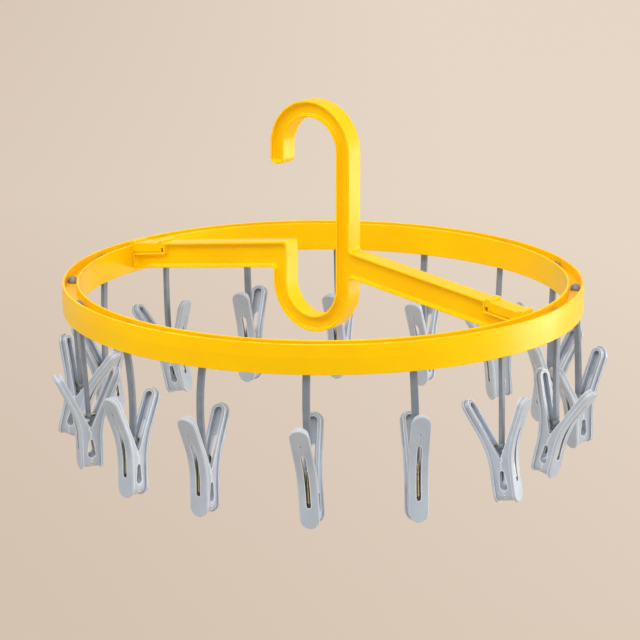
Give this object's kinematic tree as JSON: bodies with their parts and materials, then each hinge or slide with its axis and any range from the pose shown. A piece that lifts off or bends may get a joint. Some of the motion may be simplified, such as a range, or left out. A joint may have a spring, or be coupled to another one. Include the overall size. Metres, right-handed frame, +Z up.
{
  "type": "clip drying hanger",
  "caption": "Round drying hanger: a channel ring carried by a one-piece hook bar, with spring pegs hanging from it on flexible straps.",
  "frame": {"origin": "centre of the rail in the hook at the top", "axes": "+Z up, X along the hook bar with the hook's mouth towards -X, Y along the rail"},
  "size_m": [0.4208, 0.4049, 0.2595],
  "materials": {
    "yellow_plastic": "satin",
    "grey_rubber": "matt",
    "brass_wire": "drawn",
    "pale_plastic": "satin"
  },
  "bodies": {
    "hook_bar": {"hook_bar": "yellow_plastic"},
    "ring": {"ring": "yellow_plastic"},
    "strap_01": {"strap_with_spring_01": "grey_rubber"},
    "peg_01_outer": {"clip_01_outer": "pale_plastic"},
    "peg_01_inner": {"clip_01_inner": "pale_plastic"},
    "strap_02": {"strap_with_spring_02": "grey_rubber"},
    "peg_02_outer": {"clip_02_outer": "pale_plastic"},
    "peg_02_inner": {"clip_02_inner": "pale_plastic"},
    "strap_03": {"strap_with_spring_03": "grey_rubber"},
    "peg_03_outer": {"clip_03_outer": "pale_plastic"},
    "peg_03_inner": {"clip_03_inner": "pale_plastic"},
    "strap_04": {"strap_with_spring_04": "grey_rubber"},
    "peg_04_outer": {"clip_04_outer": "pale_plastic"},
    "peg_04_inner": {"clip_04_inner": "pale_plastic"},
    "strap_05": {"strap_with_spring_05": "grey_rubber"},
    "peg_05_outer": {"clip_05_outer": "pale_plastic"},
    "peg_05_inner": {"clip_05_inner": "pale_plastic"},
    "strap_06": {"strap_with_spring_06": "grey_rubber"},
    "peg_06_outer": {"clip_06_outer": "pale_plastic"},
    "peg_06_inner": {"clip_06_inner": "pale_plastic"},
    "strap_07": {"strap_with_spring_07": "grey_rubber"},
    "peg_07_outer": {"clip_07_outer": "pale_plastic"},
    "peg_07_inner": {"clip_07_inner": "pale_plastic"},
    "strap_08": {"strap_with_spring_08": "grey_rubber"},
    "peg_08_outer": {"clip_08_outer": "pale_plastic"},
    "peg_08_inner": {"clip_08_inner": "pale_plastic"},
    "strap_09": {"strap_with_spring_09": "grey_rubber"},
    "peg_09_outer": {"clip_09_outer": "pale_plastic"},
    "peg_09_inner": {"clip_09_inner": "pale_plastic"},
    "strap_10": {"strap_with_spring_10": "grey_rubber"},
    "peg_10_outer": {"clip_10_outer": "pale_plastic"},
    "peg_10_inner": {"clip_10_inner": "pale_plastic"},
    "strap_11": {"strap_with_spring_11": "grey_rubber"},
    "peg_11_outer": {"clip_11_outer": "pale_plastic"},
    "peg_11_inner": {"clip_11_inner": "pale_plastic"},
    "strap_12": {"strap_with_spring_12": "grey_rubber"},
    "peg_12_outer": {"clip_12_outer": "pale_plastic"},
    "peg_12_inner": {"clip_12_inner": "pale_plastic"},
    "strap_13": {"strap_with_spring_13": "grey_rubber"},
    "peg_13_outer": {"clip_13_outer": "pale_plastic"},
    "peg_13_inner": {"clip_13_inner": "pale_plastic"},
    "strap_14": {"strap_with_spring_14": "grey_rubber"},
    "peg_14_outer": {"clip_14_outer": "pale_plastic"},
    "peg_14_inner": {"clip_14_inner": "pale_plastic"},
    "strap_15": {"strap_with_spring_15": "grey_rubber"},
    "peg_15_outer": {"clip_15_outer": "pale_plastic"},
    "peg_15_inner": {"clip_15_inner": "pale_plastic"},
    "strap_16": {"strap_with_spring_16": "grey_rubber"},
    "peg_16_outer": {"clip_16_outer": "pale_plastic"},
    "peg_16_inner": {"clip_16_inner": "pale_plastic"}
  },
  "joints": [
    {"name": "ring_lift", "type": "slide", "parent": "hook_bar", "child": "ring", "axis": [0, 0, 1], "range_m": [0, 0.012]},
    {"name": "strap_swing_01", "type": "hinge", "parent": "ring", "child": "strap_01", "pos_m": [0.18752, 0.03585, -0.10017], "axis": [0.9808, 0.1951, 0], "range_deg": [-12, 12]},
    {"name": "peg_open_01_inner", "type": "hinge", "parent": "strap_01", "child": "peg_01_inner", "pos_m": [0.18417, 0.0387, -0.19128], "axis": [0.0196, 0.9985, -0.0512], "range_deg": [0, 10], "stiffness_Nm_per_rad": 0.2, "springref_deg": -28.65},
    {"name": "peg_open_01_outer", "type": "hinge", "parent": "strap_01", "child": "peg_01_outer", "pos_m": [0.18417, 0.0387, -0.19128], "axis": [-0.0196, -0.9985, 0.0512], "range_deg": [0, 10], "stiffness_Nm_per_rad": 0.2, "springref_deg": -28.65},
    {"name": "strap_swing_02", "type": "hinge", "parent": "ring", "child": "strap_02", "pos_m": [0.16008, 0.10209, -0.10017], "axis": [0.8315, 0.5556, 0], "range_deg": [-12, 12]},
    {"name": "peg_open_02_inner", "type": "hinge", "parent": "strap_02", "child": "peg_02_inner", "pos_m": [0.1621, 0.10679, -0.19117], "axis": [-0.9547, 0.2438, 0.1705], "range_deg": [0, 10], "stiffness_Nm_per_rad": 0.2, "springref_deg": -28.65},
    {"name": "peg_open_02_outer", "type": "hinge", "parent": "strap_02", "child": "peg_02_outer", "pos_m": [0.1621, 0.10679, -0.19117], "axis": [0.9547, -0.2438, -0.1705], "range_deg": [0, 10], "stiffness_Nm_per_rad": 0.2, "springref_deg": -28.65},
    {"name": "strap_swing_03", "type": "hinge", "parent": "ring", "child": "strap_03", "pos_m": [0.10939, 0.15278, -0.10017], "axis": [0.5556, 0.8315, 0], "range_deg": [-12, 12]},
    {"name": "peg_open_03_inner", "type": "hinge", "parent": "strap_03", "child": "peg_03_inner", "pos_m": [0.10977, 0.14729, -0.19083], "axis": [-0.9288, 0.2494, 0.2741], "range_deg": [0, 10], "stiffness_Nm_per_rad": 0.2, "springref_deg": -28.65},
    {"name": "peg_open_03_outer", "type": "hinge", "parent": "strap_03", "child": "peg_03_outer", "pos_m": [0.10977, 0.14729, -0.19083], "axis": [0.9288, -0.2494, -0.2741], "range_deg": [0, 10], "stiffness_Nm_per_rad": 0.2, "springref_deg": -28.65},
    {"name": "strap_swing_04", "type": "hinge", "parent": "ring", "child": "strap_04", "pos_m": [0.04315, 0.18022, -0.10017], "axis": [0.1951, 0.9808, 0], "range_deg": [-12, 12]},
    {"name": "peg_open_04_inner", "type": "hinge", "parent": "strap_04", "child": "peg_04_inner", "pos_m": [0.04092, 0.1807, -0.19145], "axis": [-0.8828, 0.4647, 0.0692], "range_deg": [0, 10], "stiffness_Nm_per_rad": 0.2, "springref_deg": -28.65},
    {"name": "peg_open_04_outer", "type": "hinge", "parent": "strap_04", "child": "peg_04_outer", "pos_m": [0.04092, 0.1807, -0.19145], "axis": [0.8828, -0.4647, -0.0692], "range_deg": [0, 10], "stiffness_Nm_per_rad": 0.2, "springref_deg": -28.65},
    {"name": "strap_swing_05", "type": "hinge", "parent": "ring", "child": "strap_05", "pos_m": [-0.02855, 0.18022, -0.10017], "axis": [-0.1951, 0.9808, 0], "range_deg": [-12, 12]},
    {"name": "peg_open_05_inner", "type": "hinge", "parent": "strap_05", "child": "peg_05_inner", "pos_m": [-0.03015, 0.18127, -0.19154], "axis": [-0.973, -0.2302, 0.0174], "range_deg": [0, 10], "stiffness_Nm_per_rad": 0.2, "springref_deg": -28.65},
    {"name": "peg_open_05_outer", "type": "hinge", "parent": "strap_05", "child": "peg_05_outer", "pos_m": [-0.03015, 0.18127, -0.19154], "axis": [0.973, 0.2302, -0.0174], "range_deg": [0, 10], "stiffness_Nm_per_rad": 0.2, "springref_deg": -28.65},
    {"name": "strap_swing_06", "type": "hinge", "parent": "ring", "child": "strap_06", "pos_m": [-0.09479, 0.15278, -0.10017], "axis": [-0.5556, 0.8315, 0], "range_deg": [-12, 12]},
    {"name": "peg_open_06_inner", "type": "hinge", "parent": "strap_06", "child": "peg_06_inner", "pos_m": [-0.09545, 0.15798, -0.19141], "axis": [-0.9623, -0.2716, 0.014], "range_deg": [0, 10], "stiffness_Nm_per_rad": 0.2, "springref_deg": -28.65},
    {"name": "peg_open_06_outer", "type": "hinge", "parent": "strap_06", "child": "peg_06_outer", "pos_m": [-0.09545, 0.15798, -0.19141], "axis": [0.9623, 0.2716, -0.014], "range_deg": [0, 10], "stiffness_Nm_per_rad": 0.2, "springref_deg": -28.65},
    {"name": "strap_swing_07", "type": "hinge", "parent": "ring", "child": "strap_07", "pos_m": [-0.14548, 0.10209, -0.10017], "axis": [-0.8315, 0.5556, 0], "range_deg": [-12, 12]},
    {"name": "peg_open_07_inner", "type": "hinge", "parent": "strap_07", "child": "peg_07_inner", "pos_m": [-0.14641, 0.10711, -0.19129], "axis": [-0.948, -0.3164, -0.0347], "range_deg": [0, 10], "stiffness_Nm_per_rad": 0.2, "springref_deg": -28.65},
    {"name": "peg_open_07_outer", "type": "hinge", "parent": "strap_07", "child": "peg_07_outer", "pos_m": [-0.14641, 0.10711, -0.19129], "axis": [0.948, 0.3164, 0.0347], "range_deg": [0, 10], "stiffness_Nm_per_rad": 0.2, "springref_deg": -28.65},
    {"name": "strap_swing_08", "type": "hinge", "parent": "ring", "child": "strap_08", "pos_m": [-0.17292, 0.03585, -0.10017], "axis": [-0.9808, 0.1951, 0], "range_deg": [-12, 12]},
    {"name": "peg_open_08_inner", "type": "hinge", "parent": "strap_08", "child": "peg_08_inner", "pos_m": [-0.17186, 0.04052, -0.19129], "axis": [0.2007, -0.9766, -0.077], "range_deg": [0, 10], "stiffness_Nm_per_rad": 0.2, "springref_deg": -28.65},
    {"name": "peg_open_08_outer", "type": "hinge", "parent": "strap_08", "child": "peg_08_outer", "pos_m": [-0.17186, 0.04052, -0.19129], "axis": [-0.2007, 0.9766, 0.077], "range_deg": [0, 10], "stiffness_Nm_per_rad": 0.2, "springref_deg": -28.65},
    {"name": "strap_swing_09", "type": "hinge", "parent": "ring", "child": "strap_09", "pos_m": [-0.17292, -0.03585, -0.10017], "axis": [-0.9808, -0.1951, 0], "range_deg": [-12, 12]},
    {"name": "peg_open_09_inner", "type": "hinge", "parent": "strap_09", "child": "peg_09_inner", "pos_m": [-0.16918, -0.03983, -0.19067], "axis": [0.0549, -0.95, -0.3073], "range_deg": [0, 10], "stiffness_Nm_per_rad": 0.2, "springref_deg": -28.65},
    {"name": "peg_open_09_outer", "type": "hinge", "parent": "strap_09", "child": "peg_09_outer", "pos_m": [-0.16918, -0.03983, -0.19067], "axis": [-0.0549, 0.95, 0.3073], "range_deg": [0, 10], "stiffness_Nm_per_rad": 0.2, "springref_deg": -28.65},
    {"name": "strap_swing_10", "type": "hinge", "parent": "ring", "child": "strap_10", "pos_m": [-0.14548, -0.10209, -0.10017], "axis": [-0.8315, -0.5556, 0], "range_deg": [-12, 12]},
    {"name": "peg_open_10_inner", "type": "hinge", "parent": "strap_10", "child": "peg_10_inner", "pos_m": [-0.14841, -0.0947, -0.19089], "axis": [0.2206, -0.9716, 0.0853], "range_deg": [0, 10], "stiffness_Nm_per_rad": 0.2, "springref_deg": -28.65},
    {"name": "peg_open_10_outer", "type": "hinge", "parent": "strap_10", "child": "peg_10_outer", "pos_m": [-0.14841, -0.0947, -0.19089], "axis": [-0.2206, 0.9716, -0.0853], "range_deg": [0, 10], "stiffness_Nm_per_rad": 0.2, "springref_deg": -28.65},
    {"name": "strap_swing_11", "type": "hinge", "parent": "ring", "child": "strap_11", "pos_m": [-0.09479, -0.15278, -0.10017], "axis": [-0.5556, -0.8315, 0], "range_deg": [-12, 12]},
    {"name": "peg_open_11_inner", "type": "hinge", "parent": "strap_11", "child": "peg_11_inner", "pos_m": [-0.09185, -0.14763, -0.19135], "axis": [0.8308, -0.5522, -0.0697], "range_deg": [0, 10], "stiffness_Nm_per_rad": 0.2, "springref_deg": -28.65},
    {"name": "peg_open_11_outer", "type": "hinge", "parent": "strap_11", "child": "peg_11_outer", "pos_m": [-0.09185, -0.14763, -0.19135], "axis": [-0.8308, 0.5522, 0.0697], "range_deg": [0, 10], "stiffness_Nm_per_rad": 0.2, "springref_deg": -28.65},
    {"name": "strap_swing_12", "type": "hinge", "parent": "ring", "child": "strap_12", "pos_m": [-0.02855, -0.18022, -0.10017], "axis": [-0.1951, -0.9808, 0], "range_deg": [-12, 12]},
    {"name": "peg_open_12_inner", "type": "hinge", "parent": "strap_12", "child": "peg_12_inner", "pos_m": [-0.02666, -0.17506, -0.19134], "axis": [0.9985, -0.019, 0.0523], "range_deg": [0, 10], "stiffness_Nm_per_rad": 0.2, "springref_deg": -28.65},
    {"name": "peg_open_12_outer", "type": "hinge", "parent": "strap_12", "child": "peg_12_outer", "pos_m": [-0.02666, -0.17506, -0.19134], "axis": [-0.9985, 0.019, -0.0523], "range_deg": [0, 10], "stiffness_Nm_per_rad": 0.2, "springref_deg": -28.65},
    {"name": "strap_swing_13", "type": "hinge", "parent": "ring", "child": "strap_13", "pos_m": [0.04315, -0.18022, -0.10017], "axis": [0.1951, -0.9808, 0], "range_deg": [-12, 12]},
    {"name": "peg_open_13_inner", "type": "hinge", "parent": "strap_13", "child": "peg_13_inner", "pos_m": [0.03959, -0.17651, -0.19139], "axis": [0.9939, 0.1092, 0.0174], "range_deg": [0, 10], "stiffness_Nm_per_rad": 0.2, "springref_deg": -28.65},
    {"name": "peg_open_13_outer", "type": "hinge", "parent": "strap_13", "child": "peg_13_outer", "pos_m": [0.03959, -0.17651, -0.19139], "axis": [-0.9939, -0.1092, -0.0174], "range_deg": [0, 10], "stiffness_Nm_per_rad": 0.2, "springref_deg": -28.65},
    {"name": "strap_swing_14", "type": "hinge", "parent": "ring", "child": "strap_14", "pos_m": [0.10939, -0.15278, -0.10017], "axis": [0.5556, -0.8315, 0], "range_deg": [-12, 12]},
    {"name": "peg_open_14_inner", "type": "hinge", "parent": "strap_14", "child": "peg_14_inner", "pos_m": [0.11202, -0.15243, -0.19152], "axis": [0.9126, 0.4029, 0.0697], "range_deg": [0, 10], "stiffness_Nm_per_rad": 0.2, "springref_deg": -28.65},
    {"name": "peg_open_14_outer", "type": "hinge", "parent": "strap_14", "child": "peg_14_outer", "pos_m": [0.11202, -0.15243, -0.19152], "axis": [-0.9126, -0.4029, -0.0697], "range_deg": [0, 10], "stiffness_Nm_per_rad": 0.2, "springref_deg": -28.65},
    {"name": "strap_swing_15", "type": "hinge", "parent": "ring", "child": "strap_15", "pos_m": [0.16008, -0.10209, -0.10017], "axis": [0.8315, -0.5556, 0], "range_deg": [-12, 12]},
    {"name": "peg_open_15_inner", "type": "hinge", "parent": "strap_15", "child": "peg_15_inner", "pos_m": [0.16205, -0.09917, -0.19126], "axis": [0.694, 0.7197, -0.0171], "range_deg": [0, 10], "stiffness_Nm_per_rad": 0.2, "springref_deg": -28.65},
    {"name": "peg_open_15_outer", "type": "hinge", "parent": "strap_15", "child": "peg_15_outer", "pos_m": [0.16205, -0.09917, -0.19126], "axis": [-0.694, -0.7197, 0.0171], "range_deg": [0, 10], "stiffness_Nm_per_rad": 0.2, "springref_deg": -28.65},
    {"name": "strap_swing_16", "type": "hinge", "parent": "ring", "child": "strap_16", "pos_m": [0.18752, -0.03585, -0.10017], "axis": [0.9808, -0.1951, 0], "range_deg": [-12, 12]},
    {"name": "peg_open_16_inner", "type": "hinge", "parent": "strap_16", "child": "peg_16_inner", "pos_m": [0.18743, -0.03049, -0.19126], "axis": [-0.1822, 0.9829, -0.0258], "range_deg": [0, 10], "stiffness_Nm_per_rad": 0.2, "springref_deg": -28.65},
    {"name": "peg_open_16_outer", "type": "hinge", "parent": "strap_16", "child": "peg_16_outer", "pos_m": [0.18743, -0.03049, -0.19126], "axis": [0.1822, -0.9829, 0.0258], "range_deg": [0, 10], "stiffness_Nm_per_rad": 0.2, "springref_deg": -28.65}
  ],
  "couplings": [
    {"joint": "peg_open_01_outer", "follows": "peg_open_01_inner", "ratio": 1},
    {"joint": "peg_open_02_outer", "follows": "peg_open_02_inner", "ratio": 1},
    {"joint": "peg_open_03_outer", "follows": "peg_open_03_inner", "ratio": 1},
    {"joint": "peg_open_04_outer", "follows": "peg_open_04_inner", "ratio": 1},
    {"joint": "peg_open_05_outer", "follows": "peg_open_05_inner", "ratio": 1},
    {"joint": "peg_open_06_outer", "follows": "peg_open_06_inner", "ratio": 1},
    {"joint": "peg_open_07_outer", "follows": "peg_open_07_inner", "ratio": 1},
    {"joint": "peg_open_08_outer", "follows": "peg_open_08_inner", "ratio": 1},
    {"joint": "peg_open_09_outer", "follows": "peg_open_09_inner", "ratio": 1},
    {"joint": "peg_open_10_outer", "follows": "peg_open_10_inner", "ratio": 1},
    {"joint": "peg_open_11_outer", "follows": "peg_open_11_inner", "ratio": 1},
    {"joint": "peg_open_12_outer", "follows": "peg_open_12_inner", "ratio": 1},
    {"joint": "peg_open_13_outer", "follows": "peg_open_13_inner", "ratio": 1},
    {"joint": "peg_open_14_outer", "follows": "peg_open_14_inner", "ratio": 1},
    {"joint": "peg_open_15_outer", "follows": "peg_open_15_inner", "ratio": 1},
    {"joint": "peg_open_16_outer", "follows": "peg_open_16_inner", "ratio": 1}
  ]
}
